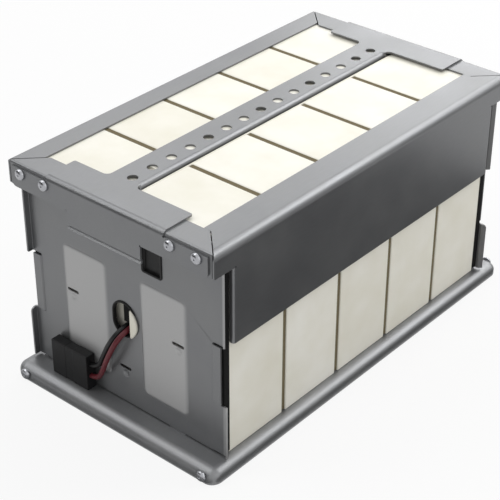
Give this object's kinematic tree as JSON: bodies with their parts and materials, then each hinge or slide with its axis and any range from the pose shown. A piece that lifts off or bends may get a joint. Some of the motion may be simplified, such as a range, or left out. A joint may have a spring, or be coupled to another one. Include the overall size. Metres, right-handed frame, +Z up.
{
  "type": "external battery module",
  "caption": "Open sheet-steel frame holding two rows of sealed battery blocks on end, with a perforated hold-down strip, end plates and a two-pole plug on short leads.",
  "frame": {"origin": "middle of the footprint, at the tray's underside", "axes": "+Z up, -Y towards the front end with the connector, +X to the right when the front is faced"},
  "size_m": [0.215, 0.388, 0.1985],
  "materials": {
    "zinc_sheet_steel": "zinc-coated sheet steel, satin, soft rolled grain",
    "block_case_plastic": "cream moulded ABS, satin",
    "plated_fasteners": "bright zinc-plated steel",
    "terminal_brass": "bare brass",
    "tinned_copper": "tinned copper",
    "connector_plastic": "black moulded polycarbonate",
    "blank_plug_plastic": "black moulded nylon",
    "trim_rubber": "black rubber edging",
    "pad_foam": "black closed-cell foam",
    "red_insulation": "dark red wire insulation",
    "black_insulation": "black wire insulation"
  },
  "bodies": {
    "root": {"base_tray": "zinc_sheet_steel", "battery_left_1": "block_case_plastic", "battery_left_2": "block_case_plastic", "battery_left_3": "block_case_plastic", "battery_left_4": "block_case_plastic", "battery_left_5": "block_case_plastic", "battery_right_1": "block_case_plastic", "battery_right_2": "block_case_plastic", "battery_right_3": "block_case_plastic", "battery_right_4": "block_case_plastic", "battery_right_5": "block_case_plastic", "black_lead": "black_insulation", "black_lead_lug": "tinned_copper", "connector_contacts": "tinned_copper", "connector_housing": "connector_plastic", "front_cross_rail": "zinc_sheet_steel", "front_edge_pads": "pad_foam", "front_end_plate": "zinc_sheet_steel", "front_frame_screws": "plated_fasteners", "front_tray_screws": "plated_fasteners", "hold_down_bracket": "zinc_sheet_steel", "hole_edge_trim": "trim_rubber", "left_row_links": "terminal_brass", "left_side_rail": "zinc_sheet_steel", "left_terminal_seats": "terminal_brass", "rear_cross_link": "terminal_brass", "rear_cross_rail": "zinc_sheet_steel", "rear_edge_pads": "pad_foam", "rear_end_plate": "zinc_sheet_steel", "rear_frame_screws": "plated_fasteners", "rear_tray_screws": "plated_fasteners", "red_lead": "red_insulation", "red_lead_lug": "tinned_copper", "right_row_links": "terminal_brass", "right_side_rail": "zinc_sheet_steel", "right_terminal_seats": "terminal_brass", "service_hole_plug": "blank_plug_plastic"}
  },
  "joints": []
}
